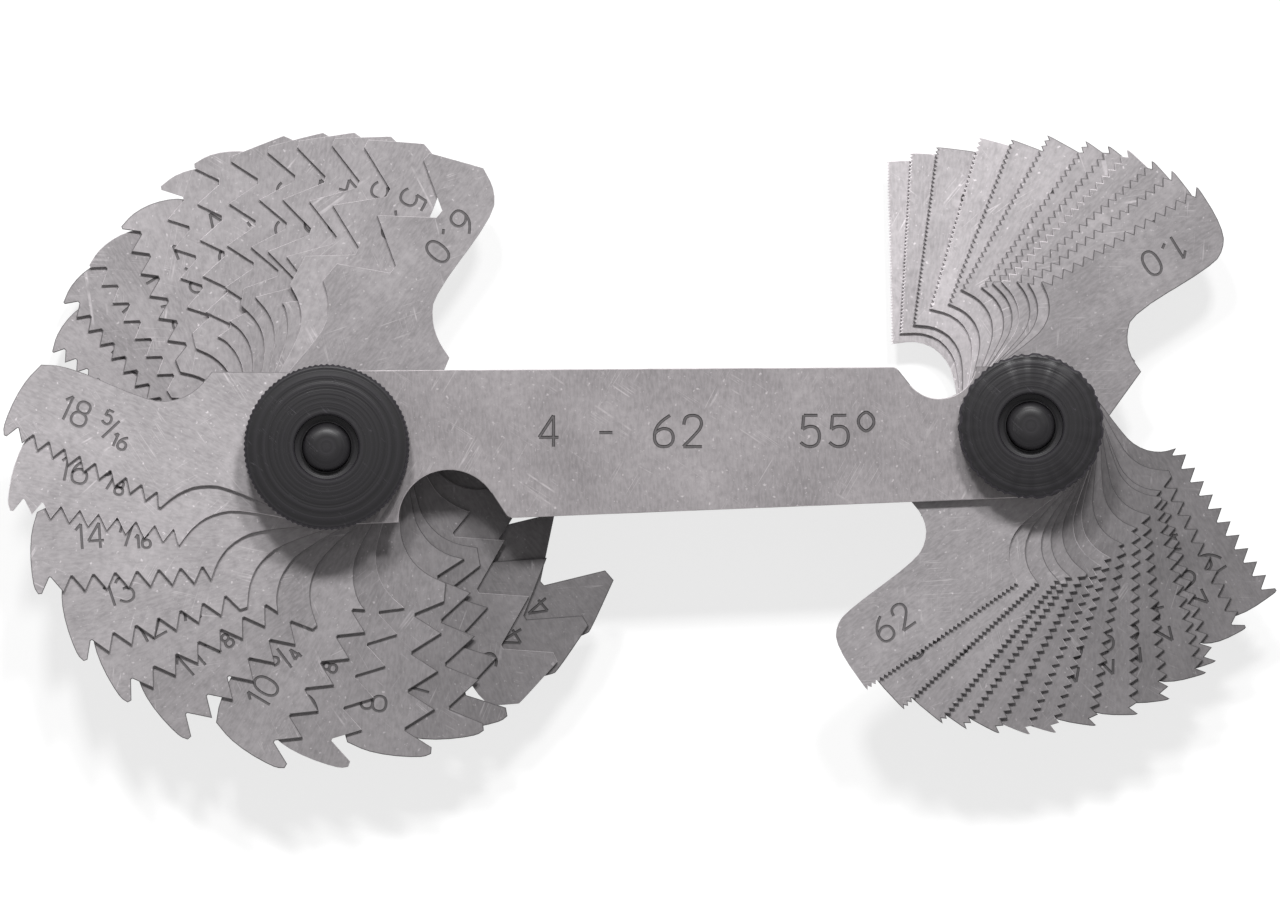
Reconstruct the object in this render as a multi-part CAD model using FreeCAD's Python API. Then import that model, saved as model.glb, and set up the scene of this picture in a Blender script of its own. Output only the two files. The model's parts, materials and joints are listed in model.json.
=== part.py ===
import FreeCAD, Part
import math
import os

# Double-ended thread pitch gauge. Two holder plates carry a pivot screw with a round nut at each end, and
# 26 steel leaves swing on each pivot: 14 for inch threads in front, 12 for metric threads behind.
# Millimetres. Origin: axis of the left pivot, at the back of its screw head. +X runs along the holder to
# the right pivot, and +Z comes out of the front face.

# ---- Driving sizes -------------------------------------------------------------------------------------
PIVOT_SPACING = 58.4

LEAF_THICKNESS = 0.40
LEAF_GAP = 0.03                 # air between neighbouring leaves, and between leaves and plates

SCREW_DIAMETER = 4.0
SCREW_END_CHAMFER = 0.4
SCREW_END_RISE = 0.1            # screw end above the nut's face
HEAD_DIAMETER = 9.0
HEAD_HEIGHT = 1.6
HEAD_CHAMFER = 0.4
LEAF_CLEARANCE = 0.05           # radial, leaf turning on its screw
NUT_CLEARANCE = 0.05            # radial, nut turning on its screw
PLATE_CLEARANCE = 0.01          # radial, plate fixed on its screws
NUT_SEAT_CLEARANCE = 0.02       # nut above the front plate

PLATE_THICKNESS = 1.0
PLATE_LEFT_TOP = 6.33           # pivot axis to the plate's edge, above and below each pivot
PLATE_LEFT_BOTTOM = 6.49
PLATE_RIGHT_TOP = 4.97
PLATE_RIGHT_BOTTOM = 5.90
LEFT_NOTCH_PLACE = 9.95         # thumb notch in the lower edge, from the left pivot
LEFT_NOTCH_RADIUS = 4.2
LEFT_NOTCH_RUNOUT = 4.9         # from the notch's centre to the end of its slanted side
LEFT_NOTCH_RISE = 0.0           # how far the notch's centre lies outside the edge
RIGHT_NOTCH_PLACE = 7.4         # thumb notch in the upper edge, from the right pivot
RIGHT_NOTCH_RADIUS = 3.1
RIGHT_NOTCH_RUNOUT = 3.6
RIGHT_NOTCH_RISE = 0.45
NOTCH_CORNER_RADIUS = 0.6

LEFT_NUT_DIAMETER = 13.8
RIGHT_NUT_DIAMETER = 12.1
NUT_HEIGHT = 3.0
NUT_CHAMFER = 0.45
COUNTERBORE_DIAMETER = 5.4
COUNTERBORE_DEPTH = 0.5

# Threads. Flats are fractions of the pitch, and the depth of a tooth follows from them and the angle.
METRIC_ANGLE = 60.0
METRIC_CREST_FLAT = 0.125
METRIC_ROOT_FLAT = 0.125
INCH_ANGLE = 55.0
INCH_CREST_FLAT = 0.17
INCH_ROOT_FLAT = 0.07
COARSE_PITCH = 1.2              # teeth finer than this are plain V's, with no flats
FINEST_PITCH_CUT = 0.65         # an edge finer than this stays straight, at half the depth of its teeth
BLANK_MARGIN = 0.3              # a blank stands this far above the crests that are cut in it
COMB_OVERRUN = 3.0              # how far the toothed cutter runs past the tip of a leaf

LEFT_REACH = 25.2               # pivot to the tip of a leaf, along its teeth
RIGHT_REACH = 23.7

# The 52 leaves repeat their small round forms, so these are cut in short flats to keep the whole light.
HUB_FLATS = 7
CURVE_FLATS = 3
NOSE_FLATS = 2
BORE_FLATS = 12


class Blank:
    """Shape that a set of leaves shares. u runs out along the teeth, v from the pivot towards them."""

    def __init__(self, inch, reach, hub, relief, first_tooth, tip, nose, notch,
                 shoulder, shoulder_angle, shoulder_end):
        self.inch = inch
        self.reach = reach
        self.hub = hub                          # radius of the hub on the tooth side
        self.relief = relief                    # curve from the hub up to the teeth: start and middle
        self.first_tooth = first_tooth          # u where the toothed edge starts
        self.tip = tip                          # slant from the last crest: length along u and drop in v
        self.nose = nose                        # rounded end: start, middle and end, with u from the tip
        self.notch = notch                      # thumb notch in the smooth edge: start and middle
        self.shoulder = shoulder                # distance of the straight shoulder from the pivot
        self.shoulder_angle = shoulder_angle    # between the shoulder and the toothed edge
        self.shoulder_end = shoulder_end        # u of the corner between the shoulder and the notch


LEFT_INCH = Blank(
    inch=True, reach=LEFT_REACH, hub=6.5, relief=((5.8, 6.5), (8.9, 7.8)), first_tooth=10.4,
    tip=(0.45, 0.8), nose=((0.0, 6.0), (-0.6, 4.0), (-3.0, 2.9)), notch=((15.5, 2.8), (12.6, 1.5)),
    shoulder=6.2, shoulder_angle=24.6, shoulder_end=11.3)
LEFT_METRIC = Blank(
    inch=False, reach=LEFT_REACH, hub=6.5, relief=((5.8, 6.5), (8.9, 7.2)), first_tooth=10.4,
    tip=(0.8, 1.6), nose=((0.0, 4.9), (-0.8, 2.9), (-2.7, 1.7)), notch=((15.5, 1.35), (13.2, -0.4)),
    shoulder=6.4, shoulder_angle=16.8, shoulder_end=12.2)
RIGHT_INCH = Blank(
    inch=True, reach=RIGHT_REACH, hub=5.9, relief=((4.4, 6.1), (7.4, 7.2)), first_tooth=8.4,
    tip=(0.15, 0.3), nose=((0.0, 5.8), (-0.6, 4.6), (-2.7, 3.8)), notch=((14.5, 3.7), (12.2, 2.6)),
    shoulder=5.1, shoulder_angle=22.5, shoulder_end=11.7)
RIGHT_METRIC = Blank(
    inch=False, reach=RIGHT_REACH, hub=5.7, relief=((3.8, 6.0), (6.4, 7.1)), first_tooth=7.1,
    tip=(0.15, 0.3), nose=((0.0, 5.7), (-0.6, 4.3), (-2.7, 3.35)), notch=((12.3, 3.5), (10.8, 2.2)),
    shoulder=4.9, shoulder_angle=22.7, shoulder_end=10.3)
LONG_SLANT = (1.9, 4.2)         # tip of the coarsest leaves on the left pivot
LONG_SLANT_PITCH = 3.2          # pitch from which a left leaf has it in metric
LONG_SLANT_PITCH_INCH = 5.0     # and in inch

# A row is one leaf: threads an inch or pitch in mm, direction of its teeth in degrees from +X as the fan
# stands open, height of its crests above the pivot, and how far its tip ends short of the blank's reach.
# Each stack lists its leaves from front to back.
LEFT_STACK = (
    (LEFT_INCH, (
        (18, 153.4, 10.4, 0.0), (16, 166.8, 10.4, 0.0), (14, 182.1, 10.6, 0.0), (13, 196.4, 10.6, 0.0),
        (12, 207.1, 10.6, 0.0), (11, 219.6, 10.6, 0.0), (10, 237.5, 10.6, 0.0), (9, 248.1, 10.8, 0.4),
        (8, 263.3, 10.8, 0.1), (7, 273.5, 10.8, 0.1), (6, 278.4, 10.8, 0.1), (5, 291.8, 10.4, -0.7),
        (4.5, 299.9, 10.7, -0.7), (4, 309.5, 10.6, -0.7))),
    (LEFT_METRIC, (
        (6.0, 48.4, 9.2, -0.9), (5.5, 59.9, 9.2, -0.8), (5.0, 66.0, 9.2, -0.7), (4.5, 72.6, 9.2, -0.6),
        (4.0, 78.3, 9.2, -0.5), (3.5, 85.5, 9.2, -0.5), (3.0, 92.7, 9.3, 0.0), (2.5, 100.6, 9.0, 0.2),
        (2.0, 110.3, 9.1, 0.9), (1.75, 120.2, 8.9, 1.0), (1.5, 128.7, 9.0, 0.9), (1.25, 137.3, 9.1, 1.8))))
RIGHT_STACK = (
    (RIGHT_INCH, (
        (62, 213.3, 10.2, 0.0), (60, 221.0, 10.2, 0.0), (48, 228.6, 10.2, 0.0), (40, 233.4, 10.1, 0.0),
        (36, 239.4, 10.1, 0.0), (32, 245.3, 10.0, 0.0), (30, 250.4, 9.9, 0.0), (28, 258.4, 9.7, 0.0),
        (26, 267.3, 9.4, -0.2), (25, 274.3, 9.2, -0.2), (24, 282.5, 9.2, 0.1), (22, 285.1, 9.2, 0.4),
        (20, 294.4, 8.8, 0.6), (19, 301.8, 9.6, 0.8))),
    (RIGHT_METRIC, (
        (1.0, 29.8, 9.7, 1.3), (0.9, 35.4, 9.8, 1.3), (0.8, 39.2, 10.0, 1.4), (0.75, 44.6, 10.0, 1.3),
        (0.7, 48.2, 10.0, 1.5), (0.6, 52.7, 10.0, 1.6), (0.5, 58.8, 10.6, 1.8), (0.45, 67.2, 10.0, 1.9),
        (0.4, 72.1, 10.7, 1.7), (0.35, 80.8, 10.7, 1.6), (0.3, 85.0, 11.2, 1.5), (0.25, 89.7, 11.3, 1.3))))

# ---- Sizes that follow ---------------------------------------------------------------------------------
MM_PER_INCH = 25.4
LEAF_STEP = LEAF_THICKNESS + LEAF_GAP
LEAVES_PER_PIVOT = max(sum(len(rows) for blank, rows in stack) for stack in (LEFT_STACK, RIGHT_STACK))
SCREW_RADIUS = SCREW_DIAMETER / 2
BACK_PLATE_Z = HEAD_HEIGHT
FRONT_PLATE_Z = BACK_PLATE_Z + PLATE_THICKNESS + LEAVES_PER_PIVOT * LEAF_STEP + LEAF_GAP
NUT_Z = FRONT_PLATE_Z + PLATE_THICKNESS + NUT_SEAT_CLEARANCE
SCREW_END_Z = NUT_Z + NUT_HEIGHT + SCREW_END_RISE

Z_AXIS = FreeCAD.Vector(0, 0, 1)
LEFT_PIVOT = FreeCAD.Vector(0, 0, 0)
RIGHT_PIVOT = FreeCAD.Vector(PIVOT_SPACING, 0, 0)


def flat_face(points):
    """Planar face inside a closed line of (x, y) points."""
    corners = [FreeCAD.Vector(x, y, 0) for x, y in points]
    return Part.Face(Part.makePolygon(corners + corners[:1]))


def turned(profile, centre):
    """Solid turned about the pivot at centre, from (radius, z) points."""
    corners = [centre + FreeCAD.Vector(radius, 0, z) for radius, z in profile]
    section = Part.Face(Part.makePolygon(corners + corners[:1]))
    return section.revolve(centre, Z_AXIS, 360)


def pivot_hole(centre, clearance):
    """Cylinder that cuts a hole for the screw through everything on a pivot."""
    return Part.makeCylinder(SCREW_RADIUS + clearance, SCREW_END_Z, centre)


# ---- Leaves --------------------------------------------------------------------------------------------
def curve_through(start, middle, end, flats=CURVE_FLATS):
    """Points of the arc through three (u, v) points, both ends included, in short equal flats."""
    arc = Part.Arc(*[FreeCAD.Vector(u, v, 0) for u, v in (start, middle, end)])
    return [(point.x, point.y) for point in arc.toShape().discretize(flats + 1)]


def shoulder_corner(blank):
    """Corner where the straight shoulder meets the thumb notch."""
    angle = math.radians(blank.shoulder_angle)
    along = (blank.shoulder_end - blank.shoulder * math.sin(angle)) / math.cos(angle)
    return blank.shoulder_end, along * math.sin(angle) - blank.shoulder * math.cos(angle)


def hub_curve(blank):
    """Points round the hub, from the foot of the shoulder round the back to the tooth side."""
    first = blank.shoulder_angle - 90
    sweep = -180 - blank.shoulder_angle
    points = []
    for step in range(HUB_FLATS + 1):
        share = step / HUB_FLATS
        angle = math.radians(first + share * sweep)
        radius = blank.shoulder + share * (blank.hub - blank.shoulder)
        points.append((radius * math.cos(angle), radius * math.sin(angle)))
    return points


def tip_slant(blank, pitch):
    """Length and drop of the slant between a leaf's last crest and its end."""
    coarse = LONG_SLANT_PITCH_INCH if blank.inch else LONG_SLANT_PITCH
    return LONG_SLANT if blank.reach == LEFT_REACH and pitch > coarse else blank.tip


def uncut_leaf(blank, crest, end, slant):
    """Face of a leaf before its teeth are cut, from the relief round by the tip and back to the hub."""
    length, drop = slant
    top = crest + BLANK_MARGIN
    outline = curve_through(*blank.relief, (blank.first_tooth, crest))
    outline += [(blank.first_tooth, top), (end - length, top), (end - length, crest), (end, crest - drop)]
    outline += curve_through(*[(end + u, v) for u, v in blank.nose], NOSE_FLATS)
    outline += curve_through(*blank.notch, shoulder_corner(blank))
    outline += hub_curve(blank)
    return flat_face(outline)


def tooth_comb(blank, crest, pitch, last_crest_end):
    """Face above the thread's profile, which cuts the teeth into a leaf."""
    if blank.inch:
        angle, crest_flat, root_flat = INCH_ANGLE, INCH_CREST_FLAT, INCH_ROOT_FLAT
    else:
        angle, crest_flat, root_flat = METRIC_ANGLE, METRIC_CREST_FLAT, METRIC_ROOT_FLAT
    depth = pitch * (1 - crest_flat - root_flat) / 2 / math.tan(math.radians(angle / 2))
    inner = blank.relief[0][0]
    outer = last_crest_end + COMB_OVERRUN
    above = crest + 2 * BLANK_MARGIN
    if pitch < FINEST_PITCH_CUT:
        level = crest - depth / 2
        return flat_face([(inner, above), (inner, level), (outer, level), (outer, above)])
    flats = pitch > COARSE_PITCH
    half_crest = pitch * crest_flat / 2 if flats else 0
    half_root = pitch * root_flat / 2 if flats else 0
    centre = last_crest_end - half_crest
    profile = [(outer, above), (outer, crest)]
    while centre - pitch / 2 > blank.first_tooth:
        root = centre - pitch / 2
        if flats:
            profile += [(centre - half_crest, crest), (root + half_root, crest - depth)]
        else:
            profile.append((centre, crest))
        profile.append((root - half_root, crest - depth))
        centre -= pitch
    profile += [(centre + half_crest, crest), (inner, crest), (inner, above)]
    return flat_face(profile)


def screw_hole():
    """Face of the hole that lets a leaf turn on its screw."""
    radius = (SCREW_RADIUS + LEAF_CLEARANCE) / math.cos(math.pi / BORE_FLATS)
    angles = [2 * math.pi * step / BORE_FLATS for step in range(BORE_FLATS)]
    return flat_face([(radius * math.cos(angle), radius * math.sin(angle)) for angle in angles])


def leaf(blank, size, direction, crest, short, pivot, place):
    """One leaf of a stack, turned to its direction. place counts from the front plate."""
    pitch = MM_PER_INCH / size if blank.inch else size
    end = blank.reach - short
    slant = tip_slant(blank, pitch)
    face = uncut_leaf(blank, crest, end, slant).cut(tooth_comb(blank, crest, pitch, end - slant[0]))
    solid = face.cut(screw_hole()).extrude(Z_AXIS * LEAF_THICKNESS)
    solid.rotate(LEFT_PIVOT, Z_AXIS, direction)
    solid.translate(pivot + Z_AXIS * (FRONT_PLATE_Z - (place + 1) * LEAF_STEP))
    return solid


def leaf_name(blank, size):
    return "leaf_" + str(size).replace(".", "_") + ("tpi" if blank.inch else "mm")


def stack_leaves(stack, pivot):
    """Every leaf on a pivot, by name, from front to back."""
    leaves = {}
    for blank, rows in stack:
        for row in rows:
            leaves[leaf_name(blank, row[0])] = leaf(blank, *row, pivot, len(leaves))
    return leaves


# ---- Holder plates -------------------------------------------------------------------------------------
def thumb_notch(centre, radius, corner, outwards):
    """Round cutter with one slanted side that runs out to a corner on the plate's edge."""
    reach = corner - centre
    turn = math.degrees(math.acos(radius / reach.Length))
    touch = reach.normalize() * radius
    touch = FreeCAD.Rotation(Z_AXIS, turn).multVec(touch) + centre
    beyond = outwards * radius
    slanted = [centre, touch, corner, corner + beyond, centre + beyond, centre]
    slanted_side = Part.Face(Part.makePolygon(slanted)).extrude(Z_AXIS * PLATE_THICKNESS)
    return Part.makeCylinder(radius, PLATE_THICKNESS, centre).fuse(slanted_side)


def round_corner(solid, corner):
    """The solid with its upright edge at corner rounded."""
    edges = [edge for edge in solid.Edges
             if all(math.hypot(v.X - corner.x, v.Y - corner.y) < 1e-3 for v in edge.Vertexes)]
    return solid.makeFillet(NOTCH_CORNER_RADIUS, edges)


def holder_plate(z):
    top_left = FreeCAD.Vector(0, PLATE_LEFT_TOP, 0)
    top_right = FreeCAD.Vector(PIVOT_SPACING, PLATE_RIGHT_TOP, 0)
    bottom_right = FreeCAD.Vector(PIVOT_SPACING, -PLATE_RIGHT_BOTTOM, 0)
    bottom_left = FreeCAD.Vector(0, -PLATE_LEFT_BOTTOM, 0)
    right_radius = (PLATE_RIGHT_TOP + PLATE_RIGHT_BOTTOM) / 2
    right_end = (top_right + bottom_right) / 2 + FreeCAD.Vector(right_radius, 0, 0)
    left_end = (top_left + bottom_left) / 2 - FreeCAD.Vector((PLATE_LEFT_TOP + PLATE_LEFT_BOTTOM) / 2, 0, 0)
    edges = [Part.LineSegment(top_left, top_right), Part.Arc(top_right, right_end, bottom_right),
             Part.LineSegment(bottom_right, bottom_left), Part.Arc(bottom_left, left_end, top_left)]
    outline = Part.Wire([edge.toShape() for edge in edges])
    plate = Part.Face(outline).extrude(Z_AXIS * PLATE_THICKNESS)

    top_edge = (top_right - top_left) / PIVOT_SPACING
    bottom_edge = (bottom_right - bottom_left) / PIVOT_SPACING
    up = FreeCAD.Vector(0, 1, 0)
    left_centre = bottom_left + bottom_edge * LEFT_NOTCH_PLACE - up * LEFT_NOTCH_RISE
    left_corner = bottom_left + bottom_edge * (LEFT_NOTCH_PLACE + LEFT_NOTCH_RUNOUT)
    right_centre = top_right - top_edge * RIGHT_NOTCH_PLACE + up * RIGHT_NOTCH_RISE
    right_corner = top_right - top_edge * (RIGHT_NOTCH_PLACE + RIGHT_NOTCH_RUNOUT)
    plate = plate.cut(thumb_notch(left_centre, LEFT_NOTCH_RADIUS, left_corner, -up))
    plate = plate.cut(thumb_notch(right_centre, RIGHT_NOTCH_RADIUS, right_corner, up))
    plate = round_corner(round_corner(plate, left_corner), right_corner)

    plate.translate(Z_AXIS * z)
    for pivot in (LEFT_PIVOT, RIGHT_PIVOT):
        plate = plate.cut(pivot_hole(pivot, PLATE_CLEARANCE))
    return plate


# ---- Screws and nuts -----------------------------------------------------------------------------------
def pivot_screw(pivot):
    head = HEAD_DIAMETER / 2
    profile = [(0, 0), (head - HEAD_CHAMFER, 0), (head, HEAD_CHAMFER), (head, HEAD_HEIGHT),
               (SCREW_RADIUS, HEAD_HEIGHT), (SCREW_RADIUS, SCREW_END_Z - SCREW_END_CHAMFER),
               (SCREW_RADIUS - SCREW_END_CHAMFER, SCREW_END_Z), (0, SCREW_END_Z)]
    return turned(profile, pivot)


def round_nut(pivot, diameter):
    """Nut before its grip is knurled: rim, chamfered face and counterbore."""
    rim = diameter / 2
    hole = SCREW_RADIUS + NUT_CLEARANCE
    counterbore = COUNTERBORE_DIAMETER / 2
    top = NUT_Z + NUT_HEIGHT
    profile = [(hole, NUT_Z), (rim, NUT_Z), (rim, top - NUT_CHAMFER), (rim - NUT_CHAMFER, top),
               (counterbore, top), (counterbore, top - COUNTERBORE_DEPTH), (hole, top - COUNTERBORE_DEPTH)]
    return turned(profile, pivot)


def main():
    parts = {
        "back_plate": holder_plate(BACK_PLATE_Z),
        "front_plate": holder_plate(FRONT_PLATE_Z),
        "left_pivot_screw": pivot_screw(LEFT_PIVOT),
        "right_pivot_screw": pivot_screw(RIGHT_PIVOT),
        "left_nut": round_nut(LEFT_PIVOT, LEFT_NUT_DIAMETER),
        "right_nut": round_nut(RIGHT_PIVOT, RIGHT_NUT_DIAMETER),
    }
    parts.update(stack_leaves(LEFT_STACK, LEFT_PIVOT))
    parts.update(stack_leaves(RIGHT_STACK, RIGHT_PIVOT))
    os.makedirs("parts", exist_ok=True)
    for name, shape in parts.items():
        shape.exportStep(os.path.join("parts", name + ".step"))


main()
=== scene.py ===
"""Thread pitch gauge: two fans of toothed blades on a slotted holder, each clamped by a knurled nut."""
import json
import math

import bmesh
import bpy
from bpy.props import (FloatProperty, FloatVectorProperty, IntProperty, PointerProperty,
                       StringProperty)
from mathutils import Matrix, Vector
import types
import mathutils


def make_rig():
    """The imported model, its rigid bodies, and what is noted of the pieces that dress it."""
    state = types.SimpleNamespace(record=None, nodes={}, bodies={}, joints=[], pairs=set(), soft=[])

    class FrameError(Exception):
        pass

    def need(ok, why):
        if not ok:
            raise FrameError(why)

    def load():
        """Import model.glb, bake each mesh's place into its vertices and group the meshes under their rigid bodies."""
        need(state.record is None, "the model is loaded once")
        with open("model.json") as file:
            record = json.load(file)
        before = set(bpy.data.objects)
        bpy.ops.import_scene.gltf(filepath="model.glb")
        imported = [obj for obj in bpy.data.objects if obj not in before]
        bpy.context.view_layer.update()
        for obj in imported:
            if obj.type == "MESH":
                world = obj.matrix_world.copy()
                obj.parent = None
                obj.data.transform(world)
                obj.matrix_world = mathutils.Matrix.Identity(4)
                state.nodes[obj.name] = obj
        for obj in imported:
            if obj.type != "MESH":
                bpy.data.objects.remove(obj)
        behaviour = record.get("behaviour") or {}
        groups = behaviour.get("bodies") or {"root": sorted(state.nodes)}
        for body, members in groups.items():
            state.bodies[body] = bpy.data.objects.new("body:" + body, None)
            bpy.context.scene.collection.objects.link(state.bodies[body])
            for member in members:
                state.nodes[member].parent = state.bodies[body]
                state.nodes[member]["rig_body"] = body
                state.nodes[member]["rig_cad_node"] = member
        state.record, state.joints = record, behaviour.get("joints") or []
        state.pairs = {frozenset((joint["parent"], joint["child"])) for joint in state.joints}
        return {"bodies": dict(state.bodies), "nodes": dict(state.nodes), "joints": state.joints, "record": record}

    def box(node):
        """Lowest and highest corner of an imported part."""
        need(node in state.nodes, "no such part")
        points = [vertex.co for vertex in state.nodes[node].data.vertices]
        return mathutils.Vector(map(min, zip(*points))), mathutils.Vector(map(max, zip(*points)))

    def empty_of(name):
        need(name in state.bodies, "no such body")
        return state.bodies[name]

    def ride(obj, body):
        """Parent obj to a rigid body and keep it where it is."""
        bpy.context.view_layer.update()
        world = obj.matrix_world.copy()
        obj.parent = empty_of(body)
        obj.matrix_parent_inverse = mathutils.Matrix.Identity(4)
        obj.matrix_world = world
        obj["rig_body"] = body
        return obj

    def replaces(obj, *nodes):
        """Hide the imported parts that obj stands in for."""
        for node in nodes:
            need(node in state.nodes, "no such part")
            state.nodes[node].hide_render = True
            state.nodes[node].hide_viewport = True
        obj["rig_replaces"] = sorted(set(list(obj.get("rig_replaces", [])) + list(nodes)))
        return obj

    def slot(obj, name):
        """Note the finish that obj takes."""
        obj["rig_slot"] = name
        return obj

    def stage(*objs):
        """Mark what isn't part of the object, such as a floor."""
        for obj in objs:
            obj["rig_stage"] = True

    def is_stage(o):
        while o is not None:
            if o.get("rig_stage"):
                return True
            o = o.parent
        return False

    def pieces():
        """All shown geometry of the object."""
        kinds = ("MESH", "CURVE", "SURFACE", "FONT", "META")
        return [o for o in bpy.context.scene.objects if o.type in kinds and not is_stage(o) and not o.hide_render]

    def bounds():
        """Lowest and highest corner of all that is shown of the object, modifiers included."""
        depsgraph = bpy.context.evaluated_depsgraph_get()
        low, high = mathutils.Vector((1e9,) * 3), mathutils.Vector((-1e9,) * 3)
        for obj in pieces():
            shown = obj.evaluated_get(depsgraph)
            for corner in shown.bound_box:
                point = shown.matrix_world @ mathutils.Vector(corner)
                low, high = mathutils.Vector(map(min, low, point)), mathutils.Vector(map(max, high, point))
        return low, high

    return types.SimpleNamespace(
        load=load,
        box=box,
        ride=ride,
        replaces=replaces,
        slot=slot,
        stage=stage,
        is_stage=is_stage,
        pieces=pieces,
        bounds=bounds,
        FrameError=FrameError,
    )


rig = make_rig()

bl_info = {
    "name": "Thread Pitch Gauge",
    "version": (1, 0, 0),
    "blender": (4, 5, 0),
    "location": "View3D > Sidebar > Pitch Gauge",
    "description": "Dresses the frame of a thread pitch gauge with blades, nuts, screws and plates",
    "category": "Object",
}

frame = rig.load()
CAD_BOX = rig.bounds()

MM = 0.001
MM_PER_INCH = 25.4
WELD = 1e-7

# ---- What the frame tells about the blades ---------------------------------------------------------------
# A family of blades shares a blank. folded is the direction of its teeth in degrees when it lies in the
# holder, sign the turning sense of its joints, smooth_edge the height of its smooth edge above the pivot,
# first_digit how far from the tip its number starts, tones how light its first and last blades are, and
# fall how soon the tone nears the last one.
FAMILIES = {
    "left_inch": {"folded": 335.4, "sign": -1, "smooth_edge": 2.85, "first_digit": 3.6,
                  "tones": (1.22, 0.40), "fall": 1.3},
    "left_metric": {"folded": -16.8, "sign": 1, "smooth_edge": 1.5, "first_digit": 3.9,
                    "tones": (0.94, 1.0), "fall": 1.0},
    "right_inch": {"folded": 157.5, "sign": 1, "smooth_edge": 3.75, "first_digit": 3.4,
                   "tones": (0.92, 0.46), "fall": 2.5},
    "right_metric": {"folded": 157.3, "sign": -1, "smooth_edge": 3.4, "first_digit": 3.4,
                     "tones": (0.84, 1.45), "fall": 1.0},
}
FINEST_LEFT_INCH = 18
FINEST_LEFT_METRIC = 1.25
STRAIGHT_EDGED = 0.65       # blades finer than this come from the frame with a straight edge
# Bolt sizes that go with the inch blades, as numerator and denominator.
BOLT_SIZES = {20: (1, 4), 18: (5, 16), 16: (3, 8), 14: (7, 16), 12: (1, 2), 11: (5, 8), 10: (3, 4),
              9: (7, 8)}

# ---- Engraved figures ------------------------------------------------------------------------------------
# Each figure is a few strokes in a box 0.6 wide and 1 high. A stroke is (round, closed, points).
FIGURES = {
    "0": [(1, 1, ((.43, 0), (.6, .24), (.6, .76), (.43, 1), (.17, 1), (0, .76), (0, .24), (.17, 0)))],
    "1": [(0, 0, ((.14, .76), (.36, 1), (.36, 0)))],
    "2": [(1, 0, ((.02, .7), (.03, .88), (.17, 1), (.43, 1), (.58, .86), (.58, .62), (.36, .36), (0, 0))),
          (0, 0, ((0, 0), (.6, 0)))],
    "3": [(1, 0, ((.03, .84), (.14, 1), (.42, 1), (.56, .88), (.56, .66), (.42, .54), (.24, .54))),
          (1, 0, ((.33, .57), (.46, .52), (.6, .4), (.6, .14), (.44, 0), (.14, 0), (0, .16)))],
    "4": [(0, 0, ((.46, 0), (.46, 1), (0, .3), (.62, .3)))],
    "5": [(0, 0, ((.54, 1), (.1, 1), (.06, .55))),
          (1, 0, ((.06, .55), (.2, .65), (.44, .65), (.6, .5), (.6, .16), (.44, 0), (.14, 0), (0, .14)))],
    "6": [(1, 0, ((.5, 1), (.2, .82), (0, .5), (0, .16), (.15, 0), (.45, 0), (.6, .16), (.6, .42),
                  (.45, .58), (.15, .58), (0, .4)))],
    "7": [(0, 0, ((0, 1), (.58, 1), (.2, 0)))],
    "8": [(1, 1, ((.42, .54), (.55, .66), (.55, .88), (.42, 1), (.18, 1), (.05, .88), (.05, .66),
                  (.18, .54))),
          (1, 1, ((.45, .54), (.6, .4), (.6, .14), (.45, 0), (.15, 0), (0, .14), (0, .4), (.15, .54)))],
    "9": [(1, 0, ((.1, 0), (.4, .18), (.6, .5), (.6, .84), (.45, 1), (.15, 1), (0, .84), (0, .58),
                  (.15, .42), (.45, .42), (.6, .6)))],
    ".": [(0, 0, ((.08, .1), (.26, .22)))],
    "/": [(0, 0, ((0, -.12), (.5, 1.12)))],
    "-": [(0, 0, ((.08, .45), (.5, .45)))],
    "o": [(1, 1, ((.31, .5), (.5, .68), (.5, .92), (.31, 1.1), (.19, 1.1), (0, .92), (0, .68), (.19, .5)))],
    " ": [],
}
NARROW_FIGURES = ".1"
FIGURE_ADVANCE = 0.92
NARROW_ADVANCE = 0.62


def strokes_of(text, height, start):
    """Strokes of a line of figures, in metres, from start to the right."""
    strokes = []
    x, y = start
    for figure in text:
        for smooth, closed, points in FIGURES[figure]:
            placed = [(x + px * height, y + py * height) for px, py in points]
            if smooth:
                strokes.append((1, closed, placed))
            else:
                strokes += [(0, 0, pair) for pair in zip(placed, placed[1:])]
        x += height * (NARROW_ADVANCE if figure in NARROW_FIGURES else FIGURE_ADVANCE)
    return strokes, x


def engraving_tool(strokes, width, place):
    """Mesh of round rods along the strokes, in the frame's place, to cut half-round grooves with."""
    curve = bpy.data.curves.new("engraving_tool", "CURVE")
    curve.dimensions = "3D"
    curve.bevel_depth = width / 2
    curve.bevel_resolution = 1
    curve.use_fill_caps = True
    curve.resolution_u = 3
    for smooth, closed, points in strokes:
        spline = curve.splines.new("NURBS" if smooth else "POLY")
        spline.points.add(len(points) - 1)
        for point, (x, y) in zip(spline.points, points):
            point.co = (x, y, 0, 1)
        spline.use_cyclic_u = bool(closed)
        if smooth:
            spline.order_u = 3
            spline.use_endpoint_u = not closed
    rods = bpy.data.objects.new("engraving_tool", curve)
    mesh = bpy.data.meshes.new_from_object(rods)
    bpy.data.objects.remove(rods)
    bpy.data.curves.remove(curve)
    bm = bmesh.new()
    bm.from_mesh(mesh)
    bmesh.ops.remove_doubles(bm, verts=bm.verts, dist=WELD)
    bmesh.ops.transform(bm, matrix=place, verts=bm.verts)
    bmesh.ops.recalc_face_normals(bm, faces=bm.faces)
    bm.to_mesh(mesh)
    bm.free()
    return mesh


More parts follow.
